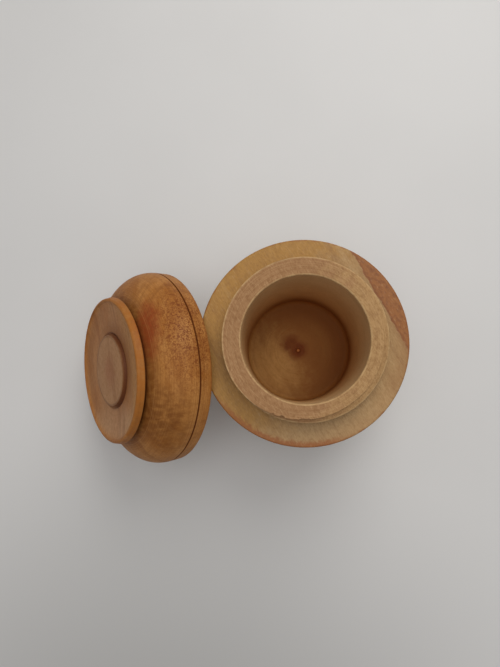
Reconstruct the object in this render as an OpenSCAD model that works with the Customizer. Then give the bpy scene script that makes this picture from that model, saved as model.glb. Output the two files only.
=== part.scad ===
// Turned wooden shaving pot with a screw lid.
// The bowl stands upright on the table. The lid is off: it stands on the edge of its rim
// and leans on the bowl's shoulder, on the -X side.
// Origin: centre of the foot's underside, +Z up. Millimetres.

/* [Pot] */
// Diameter of the shoulder, which is the widest place of the bowl
pot_d = 95; // [80:1:110]
// Height of the shoulder above the table
shoulder_h = 66.5; // [66:0.5:80]
// Height of the threaded neck above the shoulder
neck_h = 11.5; // [9:0.5:16]
// Diameter of the well at its mouth
bore_d = 56; // [50:0.2:58]
// Thickness of the wood under the well
floor_t = 15; // [12:1:22]
// Diameter of the foot
foot_d = 66; // [56:1:74]
// Thickness of the foot
foot_h = 5; // [3:0.5:8]

/* [Screw thread] */
// Diameter over the crests of the neck's thread
thread_d = 72.4; // [70:0.2:73]
// Rise of the thread in one turn, right-handed
thread_pitch = 5; // [4:0.5:6]
// Depth of the thread from crest to root
thread_depth = 2.7; // [1.5:0.1:3]
// Gap between the lid's thread and the neck's thread
thread_gap = 0.35; // [0.2:0.05:0.6]

/* [Lid] */
// Height of the lid from its rim to the top of the disc
lid_h = 29.7; // [27:0.1:36]
// Outer diameter of the rim
rim_d = 94.8; // [90:0.2:95]
// Height of the burnt line above the rim
line_h = 6.3; // [5:0.1:9]
// Diameter of the disc on top
disc_d = 70.8; // [64:0.2:74]
// Thickness of the disc
disc_t = 3.4; // [2.5:0.1:5]
// Diameter of the button in the middle of the disc
button_d = 34.4; // [26:0.2:42]

/* [Resting place of the lid] */
// Angle of the lid's axis above the table as it leans
lean = 38.6; // [38:0.1:42]
// Gap between the lid's rim and the bowl's shoulder
lean_gap = 0.3; // [0.2:0.05:1]

/* [Hidden] */
$fn = 144;

pot_r = pot_d / 2;
bore_r = bore_d / 2;
foot_r = foot_d / 2;
crest_r = thread_d / 2;
root_r = crest_r - thread_depth;
rim_r = rim_d / 2;
disc_r = disc_d / 2;
button_r = button_d / 2;
neck_top = shoulder_h + neck_h;

edge_round = 0.8;        // worn edges of the shoulder, the rim and the foot
fine_round = 0.5;        // the sharper edges of the neck and the disc
line_depth = 0.6;        // burnt decorative lines on the bowl and the lid
line_w = 0.8;
curve_steps = 24;        // chords in each round stretch of an outline

bore_taper = 0.4;        // the well is this much narrower in radius at the floor
well_round = 2.5;        // fillet between the well's wall and its floor
pip_r = 1.4;             // nub that the turning tool left in the middle of the floor
pip_h = 0.7;
body_waist_r = foot_r - 2;
foot_gap = 0.6;          // undercut between the foot and the body
body_r0 = 20;            // centre of the body's curve, from the bowl's axis
base_ring_r = 20;        // shallow turned line on the underside

crest_half = 0.14 * thread_pitch;    // half of the flat on a crest
flank_w = 0.31 * thread_pitch;       // height of a flank
root_half = crest_half + flank_w;
thread_buried = 0.3;                 // how far the ridge reaches into the core
steps_per_turn = 48;
neck_phase = 150;                    // where the neck's crest meets its top face, degrees

mouth_chamfer = 0.6;
lid_thread_h = neck_h + 0.6;     // the lid's thread is a little longer than the neck
relief_h = 2.2;          // plain groove above the lid's thread
relief_in = 0.4;         // how much deeper than the thread that groove is cut
ceiling_h = 5.5;         // rise of the lid's hollow above that groove
waist_r = 31.5;          // lid's waist under the disc
waist_gap = 1.8;         // groove between the disc and the dome
disc_round = 1.1;        // upper edge of the disc
dome_r0 = 22;            // centre of the dome's curve, from the lid's axis
dish_depth = 2.1;        // the ring around the button falls this much towards it
groove_w = 1.3;          // groove around the button
groove_depth = 0.3;
button_drop = 0.7;       // button's face below the disc's edge

lid_z = (rim_r - edge_round) * cos(lean) + edge_round * (1 - sin(lean));
lid_x = -(pot_r - edge_round)
    - (edge_round + lean_gap + (shoulder_h - edge_round - lid_z) * sin(lean)) / cos(lean);

// Points of an elliptical arc, from angle a0 to angle a1
function arc(cx, cy, rx, ry, a0, a1, steps = curve_steps) =
    [for (i = [0:steps]) let (a = a0 + (a1 - a0) * i / steps) [cx + rx * cos(a), cy + ry * sin(a)]];

// Radius of a thread ridge at height z, when the middle of its crest is at height mid
function ridge_r(z, mid, inner, outer, half_top, half_base) =
    inner + (outer - inner) * min(1, max(0, (half_base - abs(z - mid)) / (half_base - half_top)));

// One section of the ridge at angle a, cut off level at z_max
function ridge_ring(a, mid, inner, outer, half_top, half_base, z_max) =
    let (zs = [for (d = [-half_base, -half_top, half_top, half_base]) min(mid + d, z_max)],
         rs = [for (z = zs) ridge_r(z, mid, inner, outer, half_top, half_base)],
         outline = concat([[inner - 0.6, zs[0]]], [for (i = [0:3]) [rs[i], zs[i]]],
                          [[inner - 0.6, zs[3]]]))
    [for (p = outline) [p[0] * cos(a), p[0] * sin(a), p[1]]];

// Right-hand ridge that climbs from z_min to z_max, with its crest at z_max at angle phase
module thread_ridge(inner, outer, half_top, half_base, z_min, z_max, phase) {
    turns_down = (z_max - z_min) / thread_pitch;
    turns_up = (half_base - 0.05) / thread_pitch;
    first = -ceil(turns_down * steps_per_turn);
    last = floor(turns_up * steps_per_turn);
    rings = [for (i = [first:last])
        ridge_ring(phase + 360 * i / steps_per_turn, z_max + thread_pitch * i / steps_per_turn,
                   inner, outer, half_top, half_base, z_max)];
    side = 6;
    count = len(rings);
    points = [for (ring = rings) each ring];
    skin = [for (i = [0:count - 2], j = [0:side - 1])
        let (k = (j + 1) % side, a = i * side, b = a + side)
        each [[a + j, b + k, b + j], [a + j, a + k, b + k]]];
    ends = [[for (j = [side - 1:-1:0]) j], [for (j = [0:side - 1]) (count - 1) * side + j]];
    polyhedron(points, concat(skin, ends), convexity = 6);
}

module bowl_outline() {
    line_z = shoulder_h - line_h;
    body_low = foot_h + foot_gap;
    body_end = -acos((body_waist_r - body_r0) / (pot_r - body_r0));
    floor_r = bore_r - bore_taper;
    polygon(concat(
        [[0, 0], [base_ring_r - 0.5, 0], [base_ring_r, 0.4], [base_ring_r + 0.5, 0]],
        arc(foot_r - edge_round, edge_round, edge_round, edge_round, -90, 0, 6),
        arc(foot_r - edge_round, foot_h - edge_round, edge_round, edge_round, 0, 90, 6),
        arc(body_r0, line_z - line_w / 2, pot_r - body_r0,
            (line_z - line_w / 2 - body_low) / sin(-body_end), body_end, 0),
        [[pot_r - line_depth, line_z], [pot_r, line_z + line_w / 2]],
        arc(pot_r - edge_round, shoulder_h - edge_round, edge_round, edge_round, 0, 90, 6),
        [[root_r, shoulder_h], [root_r, neck_top - fine_round], [root_r - fine_round, neck_top]],
        arc(bore_r + edge_round, neck_top - edge_round, edge_round, edge_round, 90, 180, 6),
        arc(floor_r - well_round, floor_t + well_round, well_round, well_round, 0, -90, 10),
        [[pip_r * 2, floor_t - 0.3]],
        arc(0, floor_t - 0.3, pip_r, pip_h, 0, 90, 6)
    ));
}

module bowl() {
    color([0.72, 0.54, 0.30]) union() {
        rotate_extrude() bowl_outline();
        thread_ridge(root_r - thread_buried, crest_r, crest_half, root_half,
                     shoulder_h - root_half, neck_top, neck_phase);
    }
}

module lid_outline() {
    disc_low = lid_h - disc_t;
    dome_low = line_h + line_w / 2;
    dome_end = acos((waist_r - dome_r0) / (rim_r + 0.3 - dome_r0));
    dome_rise = (disc_low - waist_gap - dome_low) / sin(dome_end);
    dish_r = button_r + groove_w;
    polygon(concat(
        [[0, 0]],
        arc(rim_r - edge_round, edge_round, edge_round, edge_round, -90, 0, 6),
        [[rim_r + 0.3, line_h - line_w / 2], [rim_r - line_depth, line_h]],
        arc(dome_r0, dome_low, rim_r + 0.3 - dome_r0, dome_rise, 0, dome_end),
        [[waist_r, disc_low]],
        arc(disc_r - fine_round, disc_low + fine_round, fine_round, fine_round, -90, 0, 4),
        arc(disc_r - 0.5 - disc_round, lid_h - disc_round, disc_round, disc_round, 0, 90, 8),
        arc(dish_r, lid_h, disc_r - 0.9 - disc_round - dish_r, dish_depth, 0, -90, 16),
        [[button_r + groove_w / 2, lid_h - dish_depth - groove_depth],
         [button_r, lid_h - button_drop - fine_round],
         [button_r - fine_round, lid_h - button_drop], [0, lid_h - button_drop]]
    ));
}

module lid_hollow() {
    tap_r = root_r + thread_gap;
    mouth_r = crest_r + thread_gap + mouth_chamfer;
    relief_r = crest_r + thread_gap + relief_in;
    rotate_extrude() polygon(concat(
        [[0, -1], [mouth_r + 1, -1], [tap_r, mouth_r - tap_r], [tap_r, lid_thread_h],
         [relief_r, lid_thread_h]],
        arc(0, lid_thread_h + relief_h, relief_r, ceiling_h, 0, 90)
    ));
}

module lid_upright() {
    difference() {
        rotate_extrude() lid_outline();
        lid_hollow();
        thread_ridge(root_r + thread_gap - thread_buried, crest_r + thread_gap,
                     crest_half + thread_gap / 2, root_half + thread_gap / 2,
                     -thread_pitch, lid_thread_h + relief_h / 2, 0);
    }
}

module lid() {
    color([0.76, 0.46, 0.20])
        translate([lid_x, 0, lid_z]) rotate([0, lean - 90, 0]) lid_upright();
}

bowl();
lid();
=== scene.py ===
import math

import bmesh
import bpy
from mathutils import Matrix, Vector, noise


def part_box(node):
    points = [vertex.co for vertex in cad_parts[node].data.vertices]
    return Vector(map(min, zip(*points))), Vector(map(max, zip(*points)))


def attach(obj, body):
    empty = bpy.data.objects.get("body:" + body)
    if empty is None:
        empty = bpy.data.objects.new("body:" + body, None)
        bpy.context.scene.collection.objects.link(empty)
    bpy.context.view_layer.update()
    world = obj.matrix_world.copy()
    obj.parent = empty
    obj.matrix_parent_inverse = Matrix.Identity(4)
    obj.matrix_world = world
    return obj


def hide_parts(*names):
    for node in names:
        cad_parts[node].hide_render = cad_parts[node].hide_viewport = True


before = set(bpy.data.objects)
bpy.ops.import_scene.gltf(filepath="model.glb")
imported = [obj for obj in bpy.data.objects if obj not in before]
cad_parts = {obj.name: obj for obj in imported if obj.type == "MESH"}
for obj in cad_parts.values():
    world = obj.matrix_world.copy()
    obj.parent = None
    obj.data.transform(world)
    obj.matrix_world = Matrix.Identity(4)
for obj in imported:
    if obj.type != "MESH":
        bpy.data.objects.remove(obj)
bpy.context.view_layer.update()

# A turned wooden shaving pot, open, with its screw lid leaning on its shoulder.
# Lengths in the settings are millimetres in the pot's own frame, and angles are degrees.

scene = bpy.context.scene
mm = 0.001    # in metres, which is what Blender measures in
print("frame:", len(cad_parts), "CAD nodes loaded")


# Small helpers for node trees

def addNode(tree, kind, inputs=None, **settings):
    node = tree.nodes.new(kind)
    for name, value in settings.items():
        setattr(node, name, value)
    for name, value in (inputs or {}).items():
        if isinstance(value, bpy.types.NodeSocket):
            tree.links.new(value, node.inputs[name])
        else:
            node.inputs[name].default_value = value
    return node


def calc(tree, operation, first, second=0.0, third=0.0):
    node = addNode(tree, "ShaderNodeMath", {0: first, 1: second, 2: third}, operation=operation)
    return node.outputs[0]


def fade(tree, value, start, end, low=0.0, high=1.0):
    inputs = {"Value": value, "From Min": start, "From Max": end, "To Min": low, "To Max": high}
    node = addNode(tree, "ShaderNodeMapRange", inputs, interpolation_type="SMOOTHSTEP")
    return node.outputs["Result"]


def band(tree, value, middle, halfWidth, soft):
    # 1 within halfWidth of the middle, fading to 0 over the soft distance
    away = calc(tree, "ABSOLUTE", calc(tree, "SUBTRACT", value, middle))
    return fade(tree, away, halfWidth, halfWidth + soft, 1.0, 0.0)


def lay(tree, amount, under, over):
    # lays one colour over another where the mask allows
    return addNode(tree, "ShaderNodeMix", {0: amount, 6: under, 7: over}, data_type="RGBA").outputs[2]


def grainNoise(tree, place, scale, detail=3.0, roughness=0.5, distortion=0.0):
    inputs = {"Vector": place, "Scale": scale, "Detail": detail, "Roughness": roughness,
              "Distortion": distortion}
    return addNode(tree, "ShaderNodeTexNoise", inputs).outputs[0]


def tone(red, green, blue):
    # a colour given on a 0 to 255 swatch, as the linear colour that the shader wants
    linear = []
    for channel in (red, green, blue):
        share = channel / 255
        linear.append(share / 12.92 if share <= 0.04045 else ((share + 0.055) / 1.055) ** 2.4)
    return (*linear, 1.0)


def turnLevel(tree, place, angle):
    return addNode(tree, "ShaderNodeVectorRotate", {"Vector": place, "Angle": angle},
                   rotation_type="Z_AXIS").outputs[0]


def newGroup(name, inputs, outputs):
    tree = bpy.data.node_groups.new(name, "ShaderNodeTree")
    kinds = {"value": "NodeSocketFloat", "vector": "NodeSocketVector"}
    for label, kind in inputs.items():
        tree.interface.new_socket(label, in_out="INPUT", socket_type=kinds[kind])
    for label in outputs:
        kind = "vector" if label == "Place" else "value"
        tree.interface.new_socket(label, in_out="OUTPUT", socket_type=kinds[kind])
    entry = tree.nodes.new("NodeGroupInput")
    leave = tree.nodes.new("NodeGroupOutput")
    return tree, entry.outputs, leave.inputs


def useGroup(tree, group, inputs):
    return addNode(tree, "ShaderNodeGroup", inputs, node_tree=group).outputs


# Effects that several finishes share

patchNoise = {"side": (0.22, 4.0, 0.6), "spot": (0.3, 4.0, 0.6)}    # scale, detail and roughness of a border
toolNoise = {"wander": (0.06, 1.0), "wanderWidth": 0.6, "rings": (1.0, 2.0, 0.6)}


def makeTurnedPlace():
    # where a point is on a turned piece, in millimetres: its place with the piece's axis upright at
    # the origin, its radius from the axis and its height along it
    inputs = {"Position": "vector", "Foot": "vector", "Lean": "value"}
    tree, entry, leave = newGroup("turnedPlace", inputs, ["Place", "Radius", "Height"])
    inMillimetres = addNode(tree, "ShaderNodeVectorMath", {0: entry["Position"], 3: 1 / mm},
                            operation="SCALE").outputs[0]
    fromFoot = addNode(tree, "ShaderNodeVectorMath", {0: inMillimetres, 1: entry["Foot"]},
                       operation="SUBTRACT").outputs[0]
    place = addNode(tree, "ShaderNodeVectorRotate", {"Vector": fromFoot, "Angle": entry["Lean"]},
                    rotation_type="Y_AXIS").outputs[0]
    split = addNode(tree, "ShaderNodeSeparateXYZ", {0: place}).outputs
    flat = addNode(tree, "ShaderNodeCombineXYZ", {0: split[0], 1: split[1]}).outputs[0]
    radius = addNode(tree, "ShaderNodeVectorMath", {0: flat}, operation="LENGTH").outputs[1]
    tree.links.new(place, leave["Place"])
    tree.links.new(radius, leave["Radius"])
    tree.links.new(split[2], leave["Height"])
    return tree


woodEffects = {
    # how much each effect is scaled along the fibres and upwards, then its noise: scale, detail, roughness
    # and maybe distortion
    "Streaks": (0.28, 1.0, (1.7, 5.0, 0.62)),
    "Mottle": (0.8, 1.0, (0.55, 5.0, 0.66, 0.4)),
    "Clouds": (0.5, 1.0, (0.085, 4.0, 0.58, 0.6)),
    "Pores": (0.3, 1.0, (3.3, 2.0, 0.5)),
    "Ripple": (2.4, 1.0, (0.24, 2.0, 0.5, 0.15)),
    "Layers": (0.05, 0.1, (0.32, 4.0, 0.6)),
}
poreShare = (0.6, 0.7)    # where a pore starts in its noise, and where it is full


def makeWoodFibre():
    # fibres, cloudy figure, open pores and growth layers, all running along one level direction
    inputs = {"Place": "vector", "Fibre Turn": "value", "Shift": "value"}
    tree, entry, leave = newGroup("woodFibre", inputs, list(woodEffects))
    turned = turnLevel(tree, entry["Place"], entry["Fibre Turn"])
    moved = addNode(tree, "ShaderNodeVectorMath", {0: turned, 1: entry["Shift"]}).outputs[0]
    for effect, (alongFibres, upward, noiseValues) in woodEffects.items():
        squeezed = addNode(tree, "ShaderNodeVectorMath", {0: moved, 1: (alongFibres, 1.0, upward)},
                           operation="MULTIPLY").outputs[0]
        value = grainNoise(tree, squeezed, *noiseValues)
        if effect == "Pores":
            value = fade(tree, value, *poreShare)
        tree.links.new(value, leave[effect])
    return tree


def makeLatheMarks():
    # fine rings that the turning tool leaves, uneven in spacing and slightly broken up
    inputs = {"Place": "vector", "Radius": "value", "Height": "value", "Spacing": "value"}
    tree, entry, leave = newGroup("latheMarks", inputs, ["Rings"])
    wander = calc(tree, "MULTIPLY", grainNoise(tree, entry["Place"], *toolNoise["wander"]),
                  toolNoise["wanderWidth"])
    across = calc(tree, "ADD", calc(tree, "DIVIDE", entry["Radius"], entry["Spacing"]), wander)
    upward = calc(tree, "ADD", calc(tree, "DIVIDE", entry["Height"], entry["Spacing"]), wander)
    rings = addNode(tree, "ShaderNodeCombineXYZ", {0: across, 1: upward}).outputs[0]
    tree.links.new(grainNoise(tree, rings, *toolNoise["rings"]), leave["Rings"])
    return tree


def makeSidePatch():
    # the wood beyond a level line, such as heartwood that starts some way out from the axis
    inputs = {"Place": "vector", "Side Turn": "value", "Distance": "value", "Soft": "value",
              "Wobble": "value"}
    tree, entry, leave = newGroup("sidePatch", inputs, ["Mask"])
    turned = turnLevel(tree, entry["Place"], entry["Side Turn"])
    outward = addNode(tree, "ShaderNodeSeparateXYZ", {0: turned}).outputs[0]
    uneven = calc(tree, "SUBTRACT", grainNoise(tree, entry["Place"], *patchNoise["side"]), 0.5)
    beyond = calc(tree, "SUBTRACT", outward, entry["Distance"])
    edge = calc(tree, "MULTIPLY_ADD", uneven, entry["Wobble"], beyond)
    share = calc(tree, "DIVIDE", edge, entry["Soft"])
    tree.links.new(fade(tree, share, -0.5, 0.5), leave["Mask"])
    return tree


def makeSpotPatch():
    # a roundish patch of another colour inside the wood
    inputs = {"Place": "vector", "Centre": "vector", "Size": "vector", "Soft": "value", "Wobble": "value"}
    tree, entry, leave = newGroup("spotPatch", inputs, ["Mask"])
    away = addNode(tree, "ShaderNodeVectorMath", {0: entry["Place"], 1: entry["Centre"]},
                   operation="SUBTRACT").outputs[0]
    scaled = addNode(tree, "ShaderNodeVectorMath", {0: away, 1: entry["Size"]},
                     operation="DIVIDE").outputs[0]
    reach = addNode(tree, "ShaderNodeVectorMath", {0: scaled}, operation="LENGTH").outputs[1]
    uneven = calc(tree, "SUBTRACT", grainNoise(tree, entry["Place"], *patchNoise["spot"]), 0.5)
    beyond = calc(tree, "SUBTRACT", reach, 1.0)
    edge = calc(tree, "MULTIPLY_ADD", uneven, entry["Wobble"], beyond)
    share = calc(tree, "DIVIDE", edge, entry["Soft"])
    tree.links.new(fade(tree, share, -0.5, 0.5, 1.0, 0.0), leave["Mask"])
    return tree


turnedPlace = makeTurnedPlace()
woodFibre = makeWoodFibre()
latheMarks = makeLatheMarks()
sidePatch = makeSidePatch()
spotPatch = makeSpotPatch()
print("shared effects:", len(bpy.data.node_groups), "node groups")


# Finishes
# A side is (direction, how far out it starts, softness, wobble) and a spot is (centre, size, softness,
# wobble). A reach or a rise is where a fade starts and where it is full, measured from an edge. A band is
# (distance from an edge, half width, softness), except at a line or the waist, where it has no distance.
# A layer of figure is (effect, where it starts, where it is full, amount, tone).

def startFinish(name, s, stand=((0, 0, 0), 0)):
    # a new wood material with the shared effects that every finish begins from; stand is where the piece's
    # axis meets its foot or mouth, and how far the axis is turned about Y
    material = bpy.data.materials.new(name)
    material.use_nodes = True
    tree = material.node_tree
    shader = tree.nodes["Principled BSDF"]
    position = addNode(tree, "ShaderNodeTexCoord").outputs["Object"]
    turned = useGroup(tree, turnedPlace, {"Position": position, "Foot": stand[0], "Lean": -stand[1]})
    fibre = useGroup(tree, woodFibre, {"Place": turned["Place"], "Shift": s["shift"],
                                       "Fibre Turn": -math.radians(s["fibreDirection"])})
    marks = useGroup(tree, latheMarks, {"Place": turned["Place"], "Radius": turned["Radius"],
                                        "Height": turned["Height"], "Spacing": s["toolMarks"]})
    figure = {output.name: output for output in [*fibre, *marks]}
    return material, tree, shader, turned, figure


def side(tree, turned, direction, distance, soft, wobble):
    return useGroup(tree, sidePatch, {"Place": turned["Place"], "Side Turn": -math.radians(direction),
                                      "Distance": distance, "Soft": soft, "Wobble": wobble})["Mask"]


def spot(tree, turned, centre, size, soft, wobble):
    return useGroup(tree, spotPatch, {"Place": turned["Place"], "Centre": centre, "Size": size,
                                      "Soft": soft, "Wobble": wobble})["Mask"]


def levelSpot(tree, turned, height, centre, size, soft, wobble):
    # a spot on a level face, whose centre is given without its height
    return spot(tree, turned, (*centre, height), size, soft, wobble)


def fadeFrom(tree, value, base, reach, amount=1.0):
    # a fade over a stretch that is given from a base, such as the radius of an edge
    return fade(tree, value, base + reach[0], base + reach[1], 0.0, amount)


def bandFrom(tree, value, base, ring):
    outward, halfWidth, soft = ring
    return band(tree, value, base + outward, halfWidth, soft)


def both(tree, first, second):
    return calc(tree, "MULTIPLY", first, second)


def inverse(tree, mask):
    return calc(tree, "SUBTRACT", 1.0, mask)


def layFigure(tree, colour, figure, s, layers, share=None):
    # lays fibres, mottle, tool marks and the like over a colour, perhaps only a share of each
    for effect, start, full, amount, over in layers:
        mask = fade(tree, figure[effect], start, full, 0.0, amount)
        colour = lay(tree, mask if share is None else both(tree, mask, share), colour, s[over])
    return colour


def finishSurface(tree, shader, figure, s, colour):
    # the colour, the gloss and the fine relief that every finish ends with
    tree.links.new(colour, shader.inputs["Base Color"])
    roughness = fade(tree, figure["Streaks"], 0.3, 0.7, *s["roughness"])
    tree.links.new(roughness, shader.inputs["Roughness"])
    shader.inputs["Specular IOR Level"].default_value = s["specular"]
    if "coat" in s:
        shader.inputs["Coat Weight"].default_value = s["coat"]
        shader.inputs["Coat Roughness"].default_value = s["coatRoughness"]
    height = calc(tree, "ADD", figure["Streaks"], figure["Rings"])
    bump = addNode(tree, "ShaderNodeBump", {"Height": height, "Distance": s["relief"] * mm})
    tree.links.new(bump.outputs[0], shader.inputs["Normal"])


bowlFinish = {
    "fibreDirection": 112, "shift": 3.0, "toolMarks": 0.55, "relief": 0.06,
    "roughness": (0.48, 0.62), "coat": 0.06, "coatRoughness": 0.35, "specular": 0.28,
    "golden": tone(178, 131, 62), "pale": tone(176, 139, 90), "streak": tone(136, 94, 54),
    "heartwood": tone(158, 100, 50), "heartDark": tone(128, 70, 34), "fringe": tone(160, 92, 42),
    "edge": tone(150, 92, 48), "light": tone(206, 172, 122), "burnt": tone(60, 32, 16),
    "goldenSide": (150, 2.0, 60.0, 30.0), "goldenSpread": (0.62, 1.35),
    "growth": (("Layers", 0.5, 0.72, 0.34, "streak"), ("Layers", 0.46, 0.3, 0.2, "light")),
    "warmSide": (-40, 12.0, 30.0, 12.0), "warmReach": (-9.0, 0.0), "warmth": 0.32,
    "paintedLightSide": (-80, 34.0, 12.0, 6.0), "paintedLightDepth": 0.28,
    "heartSide": (20, 39.3, 0.5, 3.2), "heartFigure": (0.45, 0.7),
    "growthLine": (20, 40.1, 0.8, 3.2), "growthLineDepth": 0.55,
    "fringeSide": (-114, 38.0, 9.0, 8.0), "raggedness": 5.0, "fringeReach": (-0.9, 1.1), "fringeDepth": 0.85,
    "figure": (("Mottle", 0.42, 0.72, 0.26, "streak"), ("Streaks", 0.46, 0.76, 0.42, "streak"),
               ("Streaks", 0.46, 0.26, 0.3, "light"), ("Rings", 0.48, 0.8, 0.2, "streak")),
    "pores": 0.3, "edgeWear": (0.42, 0.62, 0.0, 0.75), "edgeWearReach": (-1.5, -0.1),
    "edgeWearRise": (3.0, 5.6), "lineBand": (0.25, 0.25), "lineReach": (-1.6, -1.0),
}


def makeBowlFinish(edgeRadius, lineHeight):
    s = bowlFinish
    material, tree, shader, turned, figure = startFinish("bowlLacquer", s)
    radius = turned["Radius"]
    height = turned["Height"]
    golden = calc(tree, "ADD", side(tree, turned, *s["goldenSide"]), figure["Clouds"])
    colour = lay(tree, fade(tree, golden, *s["goldenSpread"]), s["pale"], s["golden"])
    colour = layFigure(tree, colour, figure, s, s["growth"])
    warmed = both(tree, side(tree, turned, *s["warmSide"]),
                  fadeFrom(tree, radius, edgeRadius, s["warmReach"], s["warmth"]))
    colour = lay(tree, warmed, colour, s["edge"])
    # painted light, making the shoulder paler on one side
    paintedLight = both(tree, side(tree, turned, *s["paintedLightSide"]), s["paintedLightDepth"])
    colour = lay(tree, paintedLight, colour, s["light"])
    heart = side(tree, turned, *s["heartSide"])
    heartwood = lay(tree, fade(tree, figure["Mottle"], *s["heartFigure"]), s["heartwood"], s["heartDark"])
    colour = lay(tree, heart, colour, heartwood)
    growthLine = both(tree, heart, inverse(tree, side(tree, turned, *s["growthLine"])))
    colour = lay(tree, both(tree, growthLine, s["growthLineDepth"]), colour, s["heartDark"])
    # a thin orange fringe along one stretch of the shoulder's edge, with a ragged inner border
    ragged = calc(tree, "MULTIPLY_ADD", figure["Mottle"], s["raggedness"], radius)
    fringe = both(tree, side(tree, turned, *s["fringeSide"]),
                  fadeFrom(tree, ragged, edgeRadius, s["fringeReach"], s["fringeDepth"]))
    colour = lay(tree, fringe, colour, s["fringe"])
    colour = layFigure(tree, colour, figure, s, s["figure"])
    colour = lay(tree, both(tree, figure["Pores"], s["pores"]), colour, s["streak"])
    # the shoulder's worn corner, patchy, and above the burnt line only
    corner = both(tree, fadeFrom(tree, radius, edgeRadius, s["edgeWearReach"]),
                  fadeFrom(tree, height, lineHeight, s["edgeWearRise"]))
    worn = both(tree, corner, fade(tree, figure["Ripple"], *s["edgeWear"]))
    colour = lay(tree, worn, colour, s["edge"])
    onLine = both(tree, band(tree, height, lineHeight, *s["lineBand"]),
                  fadeFrom(tree, radius, edgeRadius, s["lineReach"]))
    colour = lay(tree, onLine, colour, s["burnt"])
    finishSurface(tree, shader, figure, s, colour)
    return material


bareFinish = {
    "fibreDirection": 112, "shift": 41.0, "toolMarks": 0.4, "relief": 0.1,
    "roughness": (0.62, 0.8), "specular": 0.2,
    "pink": tone(170, 127, 86), "beige": tone(184, 144, 96), "streak": tone(128, 86, 48),
    "light": tone(208, 170, 122), "worn": tone(206, 170, 120),
    "beigeSide": (-14, 12.0, 46.0, 50.0), "beigeSpread": (0.7, 1.3),
    "figure": (("Mottle", 0.42, 0.7, 0.42, "streak"), ("Streaks", 0.48, 0.76, 0.5, "streak"),
               ("Streaks", 0.46, 0.28, 0.35, "light"), ("Rings", 0.5, 0.78, 0.4, "streak"),
               ("Rings", 0.46, 0.26, 0.3, "light")),
    "pores": 0.35, "mouthHighlight": (0.35, 0.15, 0.4), "crestHighlight": (-0.8, -0.15),
    "highlightBreakup": (0.34, 0.62, 0.25, 0.75),
}


def makeBareFinish(name, mouthRadius, crestRadius, stand=((0, 0, 0), 0)):
    s = bareFinish
    material, tree, shader, turned, figure = startFinish(name, s, stand)
    radius = turned["Radius"]
    beige = calc(tree, "ADD", side(tree, turned, *s["beigeSide"]), figure["Clouds"])
    colour = lay(tree, fade(tree, beige, *s["beigeSpread"]), s["pink"], s["beige"])
    colour = layFigure(tree, colour, figure, s, s["figure"])
    colour = lay(tree, both(tree, figure["Pores"], s["pores"]), colour, s["streak"])
    # painted highlight along the mouth's edge and the thread's crests, broken up by the ripple figure
    mouthEdge = bandFrom(tree, radius, mouthRadius, s["mouthHighlight"])
    crestEdge = fadeFrom(tree, radius, crestRadius, s["crestHighlight"])
    worn = both(tree, calc(tree, "MAXIMUM", mouthEdge, crestEdge), fade(tree, figure["Ripple"], *s["highlightBreakup"]))
    colour = lay(tree, worn, colour, s["worn"])
    finishSurface(tree, shader, figure, s, colour)
    return material


wellFinish = {
    "fibreDirection": 112, "shift": 77.0, "toolMarks": 0.7, "relief": 0.08,
    "roughness": (0.55, 0.7), "specular": 0.12,
    "mouth": tone(214, 176, 126), "wall": tone(208, 164, 109), "floor": tone(153, 99, 47),
    "ring": tone(130, 70, 28), "halo": tone(112, 44, 8), "light": tone(206, 158, 92),
    "centre": tone(190, 118, 64), "streak": tone(138, 84, 38),
    "mouthLightReach": (12.0, -4.0), "floorReach": (22.0, -2.0), "onFloorReach": (4.0, 0.6),
    "cornerBand": (-3.0, 2.0, 8.0), "cornerReach": (14.0, 2.0), "cornerShadeDepth": 0.55,
    "floorLitSide": (205, -4.0, 26.0, 8.0),
    "floorLightPool": ((-19.0, -9.0), (16.0, 20.0, 9.0), 1.5, 0.9), "floorLightDepth": 0.9,
    "wallShadeSide": (195, 16.0, 16.0, 6.0), "wallShadeReach": (-2.0, -9.0), "wallShadeDepth": 0.2,
    "haloSpot": ((-0.6, 0.4), (5.2, 5.0, 4.0), 1.0, 1.0), "haloDepth": 0.85,
    "lobeSpot": ((-3.6, 4.2), (5.0, 4.2, 4.0), 1.2, 1.4),
    "closeSpot": ((0.2, -0.2), (3.0, 3.2, 4.0), 0.8, 0.6), "closeDepth": 0.7,
    "floorFigure": (("Clouds", 0.4, 0.66, 0.4, "streak"), ("Mottle", 0.42, 0.74, 0.25, "streak")),
    "figure": (("Streaks", 0.48, 0.8, 0.2, "streak"),), "floorMarks": (("Rings", 0.5, 0.8, 0.35, "streak"),),
    "wallShare": 0.3, "dot": (0.95, 0.35),
}


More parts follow.
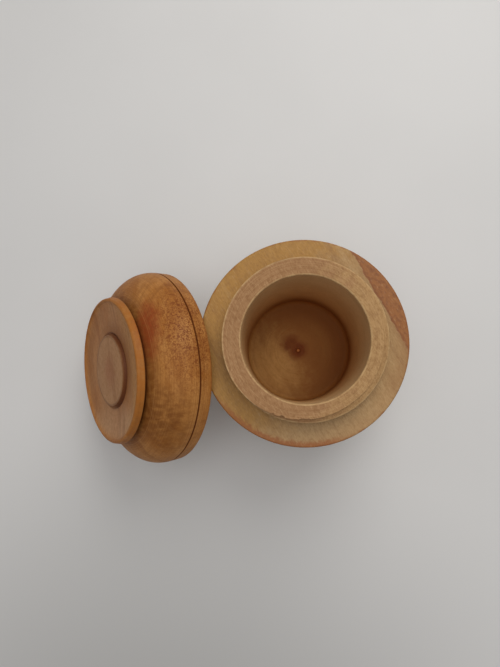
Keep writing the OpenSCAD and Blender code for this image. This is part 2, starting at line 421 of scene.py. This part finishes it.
def makeWellFinish(floorHeight, floorRadius, mouthHeight):
    s = wellFinish
    material, tree, shader, turned, figure = startFinish("wellWood", s)
    radius = turned["Radius"]
    height = turned["Height"]
    # painted light: the wall grows paler towards the mouth; lower down it turns to the floor's darker brown
    start, end = s["mouthLightReach"]
    colour = lay(tree, fade(tree, height, floorHeight + start, mouthHeight + end), s["wall"], s["mouth"])
    colour = lay(tree, fadeFrom(tree, height, floorHeight, s["floorReach"]), colour, s["floor"])
    # painted shade in a darker ring where the wall meets the floor, faint on the side where the light falls
    corner = both(tree, bandFrom(tree, radius, floorRadius, s["cornerBand"]),
                  fadeFrom(tree, height, floorHeight, s["cornerReach"]))
    corner = both(tree, corner, inverse(tree, side(tree, turned, *s["floorLitSide"])))
    colour = lay(tree, both(tree, corner, s["cornerShadeDepth"]), colour, s["ring"])
    # a painted pool of light on the floor, on that same side
    lightPool = levelSpot(tree, turned, floorHeight, *s["floorLightPool"])
    colour = lay(tree, both(tree, lightPool, s["floorLightDepth"]), colour, s["light"])
    # painted shade on the upper wall, on one side just under the mouth
    wallShade = both(tree, side(tree, turned, *s["wallShadeSide"]),
                   fadeFrom(tree, height, mouthHeight, s["wallShadeReach"]))
    colour = lay(tree, both(tree, wallShade, s["wallShadeDepth"]), colour, s["floor"])
    # the reddish middle of the floor
    halo = calc(tree, "MAXIMUM", levelSpot(tree, turned, floorHeight, *s["haloSpot"]),
                levelSpot(tree, turned, floorHeight, *s["lobeSpot"]))
    colour = lay(tree, both(tree, halo, s["haloDepth"]), colour, s["halo"])
    close = levelSpot(tree, turned, floorHeight, *s["closeSpot"])
    colour = lay(tree, both(tree, close, s["closeDepth"]), colour, s["halo"])
    # the figure shows in full on the floor and faintly on the wall
    onFloor = fadeFrom(tree, height, floorHeight, s["onFloorReach"])
    share = calc(tree, "MULTIPLY_ADD", onFloor, 1.0 - s["wallShare"], s["wallShare"])
    colour = layFigure(tree, colour, figure, s, s["floorFigure"], share)
    colour = layFigure(tree, colour, figure, s, s["figure"])
    colour = layFigure(tree, colour, figure, s, s["floorMarks"], share)
    dot = both(tree, fade(tree, radius, *s["dot"]), onFloor)
    colour = lay(tree, dot, colour, s["centre"])
    finishSurface(tree, shader, figure, s, colour)
    return material


lidFinish = {
    "fibreDirection": 90, "shift": 15.0, "toolMarks": 0.5, "relief": 0.05,
    "roughness": (0.48, 0.62), "coat": 0.03, "coatRoughness": 0.4, "specular": 0.15,
    "golden": tone(190, 130, 66), "amber": tone(168, 106, 44), "streak": tone(130, 76, 34),
    "light": tone(208, 152, 92), "dark": tone(116, 64, 18), "red": tone(148, 62, 26),
    "fleck": tone(112, 48, 14), "side": tone(168, 102, 40), "groove": tone(90, 42, 16),
    "burnt": tone(104, 52, 20),
    "goldenSpread": (0.36, 0.64), "shadeSpot": ((32.0, -27.0, 18.0), (15.0, 15.0, 9.0), 1.4, 1.2),
    "shadeFigure": (0.3, 0.66, 0.3, 0.8), "underDiscShadowReach": (5.0, -0.5), "underDiscShadowRise": (0.5, -0.5),
    "underDiscShadowDepth": 0.7, "underDiscShadowFigure": (0.3, 0.6, 0.6, 1.0),
    "redSpot": ((34.5, 18.0, 23.0), (6.6, 16.0, 5.0), 1.1, 1.0), "redFigure": (0.3, 0.56, 0.6, 0.95),
    "figure": (("Mottle", 0.42, 0.74, 0.3, "streak"), ("Streaks", 0.46, 0.76, 0.48, "streak"),
               ("Ripple", 0.4, 0.74, 0.15, "streak"), ("Layers", 0.48, 0.72, 0.36, "streak"),
               ("Layers", 0.48, 0.3, 0.12, "light"), ("Rings", 0.44, 0.76, 0.42, "streak"),
               ("Rings", 0.48, 0.26, 0.2, "light")),
    "fleckSpot": ((47.5, 15.0, 9.0), (15.0, 27.0, 13.0), 1.3, 0.7), "fleckDepth": 0.75,
    "coarseFlecks": (0.7, 2.0, 0.6, 1.6), "coarseShare": (0.53, 0.57),
    "fineFlecks": (1.7, 1.0, 0.5), "fineShare": (0.54, 0.6, 0.0, 0.6),
    "sideReach": (-2.6, -1.2), "sideRise": (0.1, 0.5), "sideWear": (0.36, 0.6, 0.9, 0.4),
    "faceReach": (-0.6, -4.5), "faceRise": (0.2, 0.6),
    "lineBand": (0.2, 0.35), "lineReach": (-1.6, -1.0),
    "waistBand": (0.9, 0.5), "waistReach": (-0.6, -2.2), "waistDepth": 0.85,
}

discFinish = {
    "face": tone(186, 132, 84), "faceWarm": tone(180, 112, 58), "faceStreak": tone(146, 96, 58),
    "button": tone(182, 134, 90), "yellow": tone(192, 138, 68), "pale": tone(204, 164, 124),
    "warmSpread": (0.4, 0.66, 0.0, 0.5), "outerReach": (-6.0, -0.5), "outerDepth": 0.5,
    "outerFigure": (0.3, 0.6, 0.6, 1.0), "buttonReach": (0.2, -0.4),
    "reddishSpot": ((1.0, 0.0), (6.0, 7.0, 6.0), 1.4, 1.2), "reddishDepth": 0.35,
    "sheenBand": (-3.4, 0.6, 2.2), "sheenSide": (5, 12.0, 26.0, 8.0), "sheenDepth": 0.45,
    "dishShadeBand": (-7.0, 1.4, 3.0), "dishShadeSide": (165, 10.0, 26.0, 8.0), "dishShadeDepth": 0.3,
    "yellowSide": (0, 18.0, 14.0, 6.0), "yellowDepth": 0.5,
    "paleLitSide": (-90, 20.0, 12.0, 6.0), "paleLitDepth": 0.4,
    "nearGrooveShadeReach": (11.0, 0.7), "nearGrooveShadeStart": (-0.2, 0.6), "nearGrooveShadeDepth": 0.8,
    "nearGrooveShadeSide": (20, 4.0, 40.0, 8.0),
    "figure": (("Layers", 0.48, 0.7, 0.5, "faceStreak"), ("Streaks", 0.44, 0.74, 0.55, "faceStreak"),
               ("Mottle", 0.46, 0.74, 0.4, "faceStreak"), ("Rings", 0.5, 0.8, 0.25, "faceStreak")),
    "grooveLitSide": (176, -2.0, 16.0, 6.0), "grooveLitShare": 0.6, "grooveBand": (0.6, 0.45, 0.9),
    "buttonEdgeBand": (-0.4, 0.3, 0.8), "buttonEdgeShare": 0.45, "grooveDepth": 0.85,
}


def makeDiscColour(tree, turned, figure, size):
    # the disc's face: thinner lacquer that shows the grey wood, warm towards its outer edge, and darker
    # towards the groove with painted shade
    s = {**lidFinish, **discFinish}    # the disc's own figure, with the lid's tones for what isn't its own
    radius = turned["Radius"]
    edge = size["discRadius"]
    button = size["buttonRadius"]
    face = lay(tree, fade(tree, figure["Clouds"], *s["warmSpread"]), s["face"], s["faceWarm"])
    outerWarm = both(tree, fadeFrom(tree, radius, edge, s["outerReach"], s["outerDepth"]),
                     fade(tree, figure["Ripple"], *s["outerFigure"]))
    face = lay(tree, outerWarm, face, s["faceWarm"])
    face = lay(tree, fadeFrom(tree, radius, button, s["buttonReach"]), face, s["button"])
    reddish = levelSpot(tree, turned, size["height"], *s["reddishSpot"])
    face = lay(tree, both(tree, reddish, s["reddishDepth"]), face, s["red"])
    # a painted sheen inside the rim on one side, and painted shade of the dish on the other
    sheen = both(tree, bandFrom(tree, radius, edge, s["sheenBand"]), side(tree, turned, *s["sheenSide"]))
    face = lay(tree, both(tree, sheen, s["sheenDepth"]), face, s["light"])
    dishShade = both(tree, bandFrom(tree, radius, edge, s["dishShadeBand"]), side(tree, turned, *s["dishShadeSide"]))
    face = lay(tree, both(tree, dishShade, s["dishShadeDepth"]), face, s["streak"])
    face = lay(tree, both(tree, side(tree, turned, *s["yellowSide"]), s["yellowDepth"]), face, s["yellow"])
    # painted light, paler on one side of the dish
    face = lay(tree, both(tree, side(tree, turned, *s["paleLitSide"]), s["paleLitDepth"]), face, s["pale"])
    # painted shade on the dish, deepening towards the groove on one side
    nearGrooveShade = both(tree, fadeFrom(tree, radius, button, s["nearGrooveShadeReach"], s["nearGrooveShadeDepth"]),
                 fadeFrom(tree, radius, button, s["nearGrooveShadeStart"]))
    face = lay(tree, both(tree, nearGrooveShade, side(tree, turned, *s["nearGrooveShadeSide"])), face, s["streak"])
    face = layFigure(tree, face, figure, s, s["figure"])
    # painted shade in the groove round the button, weaker on the side where its wall faces the light, with a
    # fainter line along the button's edge
    grooveShadeStrength = inverse(tree, both(tree, side(tree, turned, *s["grooveLitSide"]), s["grooveLitShare"]))
    groove = both(tree, bandFrom(tree, radius, button, s["grooveBand"]), grooveShadeStrength)
    buttonEdge = both(tree, bandFrom(tree, radius, button, s["buttonEdgeBand"]), s["buttonEdgeShare"])
    groove = calc(tree, "MAXIMUM", groove, buttonEdge)
    return lay(tree, both(tree, groove, s["grooveDepth"]), face, s["groove"])


def makeLidFinish(size, stand):
    s = lidFinish
    material, tree, shader, turned, figure = startFinish("lidLacquer", s, stand)
    radius = turned["Radius"]
    height = turned["Height"]
    place = turned["Place"]
    edge = size["discRadius"]
    discLow = size["height"] - size["discThick"]
    colour = lay(tree, fade(tree, figure["Clouds"], *s["goldenSpread"]), s["golden"], s["amber"])
    shade = both(tree, spot(tree, turned, *s["shadeSpot"]), fade(tree, figure["Ripple"], *s["shadeFigure"]))
    colour = lay(tree, shade, colour, s["dark"])
    # painted shadow of the disc's overhang on the dome just below it, mottled by the figure
    underDiscShadow = both(tree, fadeFrom(tree, radius, edge, s["underDiscShadowReach"], s["underDiscShadowDepth"]),
                      fadeFrom(tree, height, discLow, s["underDiscShadowRise"]))
    underDiscShadow = both(tree, underDiscShadow, fade(tree, figure["Ripple"], *s["underDiscShadowFigure"]))
    colour = lay(tree, underDiscShadow, colour, s["dark"])
    red = both(tree, spot(tree, turned, *s["redSpot"]), fade(tree, figure["Mottle"], *s["redFigure"]))
    colour = lay(tree, red, colour, s["red"])
    colour = layFigure(tree, colour, figure, s, s["figure"])
    # small worm-like flecks on one side of the dome, thickest towards the burnt line
    coarse = fade(tree, grainNoise(tree, place, *s["coarseFlecks"]), *s["coarseShare"])
    fine = fade(tree, grainNoise(tree, place, *s["fineFlecks"]), *s["fineShare"])
    flecks = both(tree, spot(tree, turned, *s["fleckSpot"]), calc(tree, "MAXIMUM", coarse, fine))
    colour = lay(tree, both(tree, flecks, s["fleckDepth"]), colour, s["fleck"])
    # the disc's side keeps a full coat, and its face a thin one
    onSide = both(tree, fadeFrom(tree, height, discLow, s["sideRise"]),
                  fadeFrom(tree, radius, edge, s["sideReach"]))
    worn = fade(tree, figure["Ripple"], *s["sideWear"])
    colour = lay(tree, both(tree, onSide, worn), colour, s["side"])
    onFace = both(tree, fadeFrom(tree, height, discLow, s["faceRise"]),
                  fadeFrom(tree, radius, edge, s["faceReach"]))
    colour = lay(tree, onFace, colour, makeDiscColour(tree, turned, figure, size))
    onLine = both(tree, band(tree, height, size["lineHeight"], *s["lineBand"]),
                  fadeFrom(tree, radius, size["rimRadius"], s["lineReach"]))
    colour = lay(tree, onLine, colour, s["burnt"])
    waist = both(tree, band(tree, height, discLow - size["waistGap"] / 2, *s["waistBand"]),
                 fadeFrom(tree, radius, edge, s["waistReach"]))
    colour = lay(tree, both(tree, waist, s["waistDepth"]), colour, s["groove"])
    finishSurface(tree, shader, figure, s, colour)
    return material


# Turning the pieces

def arc(centreR, centreZ, radiusR, radiusZ, startAngle, endAngle, steps):
    points = []
    for i in range(steps + 1):
        angle = math.radians(startAngle + (endAngle - startAngle) * i / steps)
        points.append((centreR + radiusR * math.cos(angle), centreZ + radiusZ * math.sin(angle)))
    return points


def fill(points, longest):
    # puts extra points on every stretch that is longer than the given length
    filled = [points[0]]
    for start, end in zip(points, points[1:]):
        count = max(1, math.ceil(math.dist(start, end) / longest))
        for i in range(1, count + 1):
            share = i / count
            filled.append((start[0] + (end[0] - start[0]) * share, start[1] + (end[1] - start[1]) * share))
    return filled


sharpAngle = 38    # a corner sharper than this shows as an edge


def turnPiece(name, stretches, materials, segments, place=None):
    # a closed turned mesh; each stretch has its outline points, its finish and maybe a shaping function,
    # which is given a point's angle, radius and height and gives back its radius and height
    shape = bmesh.new()
    previous = None
    for stretch in stretches:
        for radius, height in stretch["points"][0 if previous is None else 1:]:
            row = []
            onAxis = math.isclose(radius, 0, abs_tol=1e-6)
            if onAxis:
                row.append(shape.verts.new((0, 0, height * mm)))
            for i in range(0 if onAxis else segments):
                angle = 360 * i / segments
                r, z = radius, height
                if "shaping" in stretch:
                    r, z = stretch["shaping"](angle, radius, height)
                row.append(shape.verts.new((r * mm * math.cos(math.radians(angle)),
                                            r * mm * math.sin(math.radians(angle)), z * mm)))
            for i in range(segments if previous else 0):
                j = (i + 1) % segments
                corners = [previous[i % len(previous)], previous[j % len(previous)],
                           row[j % len(row)], row[i % len(row)]]
                face = shape.faces.new(list(dict.fromkeys(corners)))
                face.material_index = stretch["finish"]
                face.smooth = True
            previous = row
    bmesh.ops.recalc_face_normals(shape, faces=shape.faces)
    mesh = bpy.data.meshes.new(name)
    shape.to_mesh(mesh)
    shape.free()
    mesh.set_sharp_from_angle(angle=math.radians(sharpAngle))
    if place is not None:
        mesh.transform(place)
    for material in materials:
        mesh.materials.append(material)
    piece = bpy.data.objects.new(name, mesh)
    scene.collection.objects.link(piece)
    return piece


thread = {
    "pitch": 5.0, "depth": 2.7, "crestHalf": 0.7, "flank": 1.55, "buried": 0.3, "gap": 0.35,
    "rowSpacing": 0.12, "soften": 0.35,    # 0 has sharp flanks, 1 has fully rounded ones
}


def threadRadius(angle, height, root, crest, crestHeight, phase, extra=0.0):
    # radius on a right-hand thread whose crest passes crestHeight at the phase angle
    t = thread
    middle = crestHeight + t["pitch"] * (angle - phase) / 360
    away = abs((height - middle + t["pitch"] / 2) % t["pitch"] - t["pitch"] / 2)
    share = min(1.0, max(0.0, (t["crestHalf"] + t["flank"] + extra - away) / t["flank"]))
    eased = share * share * (3 - 2 * share)
    share += (eased - share) * t["soften"]
    return max(root, root - t["buried"] + (crest - root + t["buried"]) * share)


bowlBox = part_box("bowl")
bowl = {
    "radius": bowlBox[1].x / mm, "neckTop": bowlBox[1].z / mm, "neckHeight": 11.5, "boreRadius": 28.0,
    "floor": 15.0, "wellTaper": 0.4, "wellRound": 2.5, "pipRadius": 1.4, "pipHeight": 0.7,
    "floorDip": 0.3, "footRadius": 33.0, "footHeight": 5.0, "footGap": 0.6, "bodyCentre": 20.0,
    "bodyFoot": 31.0, "ringRadius": 20.0, "ringWidth": 0.5, "ringDepth": 0.4, "crestRadius": 36.2,
    "phase": 150, "edge": 0.8, "lineHeight": 6.3, "lineDepth": 0.6, "lineWidth": 0.8,
    # the stretch of the thread that is torn under the top face: its angles, height and two sizes of chip
    "tornFrom": 228, "tornTo": 330, "tornFade": 14, "tornBelow": 1.5, "tornFull": 1.2,
    "smallChips": (1.1, 0.7), "largeChips": (0.35, 0.5), "waver": (1.7, 0.05),
    "segments": 240, "steps": {"foot": 8, "body": 64, "corner": 10, "mouth": 10, "fillet": 14, "nub": 10},
    "spacing": {"foot": 1.2, "body": 1.2, "line": 0.25, "corner": 0.6, "shoulder": 0.6, "face": 0.35,
                "wall": 1.0, "floor": 0.8, "nub": 0.4},
}


def bowlThread(angle, radius, height):
    b = bowl
    root = b["crestRadius"] - thread["depth"]
    r = threadRadius(angle, height, root, b["crestRadius"], b["neckTop"], b["phase"])
    # the feather edge under the top face is torn where the tool cut across the fibres
    within = min(1.0, max(0.0, min(angle - b["tornFrom"], b["tornTo"] - angle) / b["tornFade"]))
    nearTop = min(1.0, max(0.0, (height - b["neckTop"] + b["tornBelow"]) / b["tornFull"]))
    place = Vector((math.cos(math.radians(angle)), math.sin(math.radians(angle)), height * 0.02)) * 34
    chips, large, waver = [noise.noise(place * scale) * depth
                           for scale, depth in (b["smallChips"], b["largeChips"], b["waver"])]
    r -= (r - root) * min(1.0, max(0.0, chips + large)) * within * nearTop
    return min(r + waver, b["crestRadius"]), height


def bowlOutline():
    b = bowl
    r, e = b["radius"], b["edge"]
    shoulder = b["neckTop"] - b["neckHeight"]
    lineZ = shoulder - b["lineHeight"]
    low = b["footHeight"] + b["footGap"]
    centre = b["bodyCentre"]
    steps, spacing = b["steps"], b["spacing"]
    ring = b["ringRadius"]
    foot = [(0, 0), (ring - b["ringWidth"], 0), (ring, b["ringDepth"]), (ring + b["ringWidth"], 0)]
    foot += arc(b["footRadius"] - e, e, e, e, -90, 0, steps["foot"])
    foot += arc(b["footRadius"] - e, b["footHeight"] - e, e, e, 0, 90, steps["foot"])
    start = -math.degrees(math.acos((b["bodyFoot"] - centre) / (r - centre)))
    rise = (lineZ - b["lineWidth"] / 2 - low) / math.sin(math.radians(-start))
    body = arc(centre, lineZ - b["lineWidth"] / 2, r - centre, rise, start, 0, steps["body"])
    line = [(r - b["lineDepth"], lineZ), (r, lineZ + b["lineWidth"] / 2)]
    corner = arc(r - e, shoulder - e, e, e, 0, 90, steps["corner"])
    root = b["crestRadius"] - thread["depth"]
    outside = fill(foot, spacing["foot"])
    outside += fill([foot[-1]] + body, spacing["body"])[1:]
    outside += fill([body[-1]] + line, spacing["line"])[1:]
    outside += fill([line[-1]] + corner, spacing["corner"])[1:]
    outside += fill([corner[-1], (root, shoulder)], spacing["shoulder"])[1:]
    neck = fill([(root, shoulder), (root, b["neckTop"])], thread["rowSpacing"])
    return outside, neck


def topFace(angle, radius, height):
    # the neck's top face, wide where the thread runs out through it
    b = bowl
    root = b["crestRadius"] - thread["depth"]
    outer = bowlThread(angle, root, b["neckTop"])[0]
    inner = b["boreRadius"] + b["edge"]
    share = (radius - inner) / (root - inner)
    return inner + (outer - inner) * share, height


def makeBowl(materials):
    b = bowl
    outside, neck = bowlOutline()
    top = b["neckTop"]
    root = b["crestRadius"] - thread["depth"]
    inner = b["boreRadius"] + b["edge"]
    steps, spacing = b["steps"], b["spacing"]
    face = fill([(root, top), (inner, top)], spacing["face"])
    mouth = arc(inner, top - b["edge"], b["edge"], b["edge"], 90, 180, steps["mouth"])
    bend = b["wellRound"]
    fillet = arc(b["boreRadius"] - b["wellTaper"] - bend, b["floor"] + bend, bend, bend, 0, -90,
                 steps["fillet"])
    wall = fill([mouth[-1], fillet[0]], spacing["wall"])
    low = b["floor"] - b["floorDip"]
    middle = fill([fillet[-1], (b["pipRadius"] * 2, low)], spacing["floor"])
    nub = arc(0, low, b["pipRadius"], b["pipHeight"], 0, 90, steps["nub"])
    nub[-1] = (0, low + b["pipHeight"])
    well = wall + fillet[1:] + middle[1:] + fill([middle[-1], nub[0]], spacing["nub"])[1:] + nub[1:]
    stretches = [
        {"points": outside, "finish": 0},
        {"points": neck, "finish": 1, "shaping": bowlThread},
        {"points": face, "finish": 1, "shaping": topFace},
        {"points": mouth, "finish": 1},
        {"points": well, "finish": 2},
    ]
    piece = turnPiece("turnedBowl", stretches, materials, b["segments"])
    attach(piece, "bowl")
    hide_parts("bowl")
    return piece


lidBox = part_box("lid")
lid = {
    "height": 29.7, "rimRadius": 47.4, "bulge": 0.3, "lineHeight": 6.3, "lineDepth": 0.6, "lineWidth": 0.8,
    "discRadius": 35.4, "discThick": 3.4, "discRound": 1.1, "buttonRadius": 17.2, "buttonDrop": 0.7,
    "waistRadius": 31.5, "waistGap": 1.8, "domeCentre": 22.0, "edge": 0.8, "fineEdge": 0.5, "dishDepth": 2.1,
    "discTaper": 0.5, "dishInset": 0.9, "grooveWidth": 1.3, "grooveDepth": 0.3, "mouthChamfer": 0.6,
    "tapRadius": 33.85, "cutRadius": 36.55, "threadHeight": 12.1, "reliefHeight": 2.2,
    "reliefRadius": 36.95, "ceilingRise": 5.5, "lean": 38.6,
    "segments": 240, "steps": {"rim": 10, "dome": 72, "disc": 8, "discTop": 12, "dish": 40, "button": 6,
                               "ceiling": 48},
    "spacing": {"rim": 0.3, "side": 0.7, "line": 0.25, "dome": 1.0, "disc": 0.5, "dish": 0.7,
                "groove": 0.25, "button": 0.8, "mouth": 0.8, "relief": 0.5, "ceiling": 1.2},
}


def lidThread(angle, radius, height):
    crestHeight = lid["threadHeight"] + lid["reliefHeight"] / 2
    r = threadRadius(angle, height, lid["tapRadius"], lid["cutRadius"], crestHeight, 0, thread["gap"] / 2)
    chamfer = lid["cutRadius"] + lid["mouthChamfer"] - height
    return max(r, chamfer), height


def lidOutline():
    s = lid
    e, f = s["edge"], s["fineEdge"]
    bulge = s["rimRadius"] + s["bulge"]
    halfLine = s["lineWidth"] / 2
    steps, spacing = s["steps"], s["spacing"]
    rim = arc(s["rimRadius"] - e, e, e, e, -90, 0, steps["rim"])
    line = [(bulge, s["lineHeight"] - halfLine), (s["rimRadius"] - s["lineDepth"], s["lineHeight"])]
    low = s["height"] - s["discThick"]
    end = math.degrees(math.acos((s["waistRadius"] - s["domeCentre"]) / (bulge - s["domeCentre"])))
    rise = (low - s["waistGap"] - s["lineHeight"] - halfLine) / math.sin(math.radians(end))
    dome = arc(s["domeCentre"], s["lineHeight"] + halfLine, bulge - s["domeCentre"], rise, 0, end,
               steps["dome"])
    disc = [(s["waistRadius"], low)] + arc(s["discRadius"] - f, low + f, f, f, -90, 0, steps["disc"])
    bend = s["discRound"]
    disc += arc(s["discRadius"] - s["discTaper"] - bend, s["height"] - bend, bend, bend, 0, 90,
                steps["discTop"])
    dishFrom = s["buttonRadius"] + s["grooveWidth"]
    dishWidth = s["discRadius"] - s["dishInset"] - bend - dishFrom
    dish = arc(dishFrom, s["height"], dishWidth, s["dishDepth"], 0, -90, steps["dish"])
    groove = (s["buttonRadius"] + s["grooveWidth"] / 2, s["height"] - s["dishDepth"] - s["grooveDepth"])
    face = s["height"] - s["buttonDrop"]
    button = arc(s["buttonRadius"] - f, face - f, f, f, 0, 90, steps["button"]) + [(0, face)]
    outline = fill(rim, spacing["rim"])
    outline += fill([rim[-1], line[0]], spacing["side"])[1:]
    outline += fill(line + [dome[0]], spacing["line"])[1:]
    outline += fill(dome, spacing["dome"])[1:]
    outline += fill([dome[-1]] + disc, spacing["disc"])[1:]
    outline += fill([disc[-1]] + dish, spacing["dish"])[1:]
    outline += fill([dish[-1], groove, button[0]], spacing["groove"])[1:]
    outline += fill(button, spacing["button"])[1:]
    return outline


def lidStand():
    # where the middle of the lid's mouth is, and how far the upright lid is turned about Y to lean
    s = lid
    lean = math.radians(s["lean"])
    reach = s["rimRadius"] - s["edge"]
    x = lidBox[1].x / mm - reach * math.sin(lean) - s["edge"] * (1 - math.cos(lean))
    z = lidBox[0].z / mm + reach * math.cos(lean) + s["edge"] * (1 - math.sin(lean))
    return Vector((x, 0, z)), lean - math.pi / 2


def makeLid(materials):
    s = lid
    steps, spacing = s["steps"], s["spacing"]
    start = (s["cutRadius"] + s["mouthChamfer"], 0)
    threadRows = fill([(s["tapRadius"], 0), (s["tapRadius"], s["threadHeight"])], thread["rowSpacing"])
    relief = [(s["tapRadius"], s["threadHeight"]), (s["reliefRadius"], s["threadHeight"])]
    ceiling = arc(0, s["threadHeight"] + s["reliefHeight"], s["reliefRadius"], s["ceilingRise"], 0, 90,
                  steps["ceiling"])
    ceiling[-1] = (0, ceiling[-1][1])
    hollow = fill(relief, spacing["relief"]) + fill([relief[-1]] + ceiling, spacing["ceiling"])[1:]
    outline = lidOutline()
    outline.reverse()
    stretches = [
        {"points": outline, "finish": 0},
        {"points": fill([outline[-1], start], spacing["mouth"]), "finish": 0},
        {"points": [start] + threadRows, "finish": 1, "shaping": lidThread},
        {"points": hollow, "finish": 1},
    ]
    foot, turn = lidStand()
    place = Matrix.Translation(foot * mm) @ Matrix.Rotation(turn, 4, "Y")
    piece = turnPiece("turnedLid", stretches, materials, s["segments"], place)
    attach(piece, "lid")
    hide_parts("lid")
    return piece


shoulderHeight = bowl["neckTop"] - bowl["neckHeight"]
bowlLacquer = makeBowlFinish(bowl["radius"], shoulderHeight - bowl["lineHeight"])
bareNeck = makeBareFinish("bareNeck", bowl["boreRadius"], bowl["crestRadius"])
wellWood = makeWellFinish(bowl["floor"], bowl["boreRadius"] - bowl["wellTaper"], bowl["neckTop"])
lidLacquer = makeLidFinish(lid, lidStand())
# the hollow gets the painted highlight along its thread's inner edge only, so its crests are set beyond the
# wood
bareHollow = makeBareFinish("bareHollow", lid["tapRadius"], lid["cutRadius"] + 2, lidStand())
print("finishes:", len(bpy.data.materials), "materials")

turnedBowl = makeBowl([bowlLacquer, bareNeck, wellWood])
print("bowl:", len(turnedBowl.data.vertices), "points")
turnedLid = makeLid([lidLacquer, bareHollow])
print("lid:", len(turnedLid.data.vertices), "points")


# The table, the light and the camera

studio = {
    "table": tone(222, 220, 217), "tableShade": tone(150, 148, 144), "tableSize": 6.0,
    "tableNoise": (0.009, 3.0), "tableClouds": (0.3, 0.7, 0.0, 0.05),
    "tableShadowSpot": ((-110.0, -250.0, 0.0), (150.0, 150.0, 150.0), 1.5, 0.0),
    "tableShadowDepth": 0.6, "tableRoughness": 0.6,
    "window": {"place": (0.24, 0.44, 0.6), "size": 0.55, "power": 2.3, "colour": (1.0, 0.99, 0.97)},
    "ceiling": {"place": (0.0, 0.0, 1.1), "size": 0.9, "power": 2.9, "colour": (0.99, 0.99, 1.0)},
    "fill": (0.99, 0.99, 1.0), "horizon": 0.14, "zenith": 0.38, "backdrop": 0.6,
    "cameraPlace": (-16.79, -20.77, 293.12), "cameraTurn": (6.655, 2.677, -7.787),
    "sensorHeight": 36, "focalShare": 500 / 667,    # focal length as a share of the sensor's height
}


def makeTable():
    s = studio
    mesh = bpy.data.meshes.new("table")
    half = s["tableSize"] / 2
    corners = [(-half, -half, 0), (half, -half, 0), (half, half, 0), (-half, half, 0)]
    mesh.from_pydata(corners, [], [(0, 1, 2, 3)])
    material = bpy.data.materials.new("tableTop")
    material.use_nodes = True
    tree = material.node_tree
    shader = tree.nodes["Principled BSDF"]
    position = addNode(tree, "ShaderNodeTexCoord").outputs["Object"]
    turned = useGroup(tree, turnedPlace, {"Position": position})
    clouds = fade(tree, grainNoise(tree, turned["Place"], *s["tableNoise"]), *s["tableClouds"])
    # painted shade darkening the table towards one corner
    shade = both(tree, spot(tree, turned, *s["tableShadowSpot"]), s["tableShadowDepth"])
    colour = lay(tree, calc(tree, "MAXIMUM", clouds, shade), s["table"], s["tableShade"])
    tree.links.new(colour, shader.inputs["Base Color"])
    shader.inputs["Roughness"].default_value = s["tableRoughness"]
    mesh.materials.append(material)
    table = bpy.data.objects.new("table", mesh)
    scene.collection.objects.link(table)


def makeLamp(name):
    s = studio[name]
    light = bpy.data.lights.new(name, "AREA")
    light.shape = "DISK"
    light.size = s["size"]
    light.energy = s["power"]
    light.color = s["colour"]
    lamp = bpy.data.objects.new(name, light)
    lamp.location = s["place"]
    lamp.rotation_euler = lamp.location.to_track_quat("Z", "Y").to_euler()
    scene.collection.objects.link(lamp)


def makeRoom():
    s = studio
    world = bpy.data.worlds.new("room")
    scene.world = world
    world.use_nodes = True
    tree = world.node_tree
    background = tree.nodes["Background"]
    background.inputs["Color"].default_value = (*s["fill"], 1)
    direction = addNode(tree, "ShaderNodeTexCoord").outputs["Generated"]
    upward = addNode(tree, "ShaderNodeSeparateXYZ", {0: direction})
    glow = fade(tree, upward.outputs[2], 0.0, 1.0, s["horizon"], s["zenith"])
    backdrop = both(tree, addNode(tree, "ShaderNodeLightPath").outputs["Is Camera Ray"], s["backdrop"])
    tree.links.new(calc(tree, "MAXIMUM", glow, backdrop), background.inputs["Strength"])


def makeCamera():
    s = studio
    data = bpy.data.cameras.new("camera")
    data.sensor_fit = "VERTICAL"
    data.sensor_height = s["sensorHeight"]
    data.lens = s["sensorHeight"] * s["focalShare"]
    data.clip_start = 0.01
    camera = bpy.data.objects.new("camera", data)
    camera.location = Vector(s["cameraPlace"]) * mm
    camera.rotation_euler = [math.radians(angle) for angle in s["cameraTurn"]]
    scene.collection.objects.link(camera)
    scene.camera = camera


makeTable()
makeLamp("window")
makeLamp("ceiling")
makeRoom()
makeCamera()
scene.view_settings.view_transform = "Standard"
print("studio: table, light and camera")
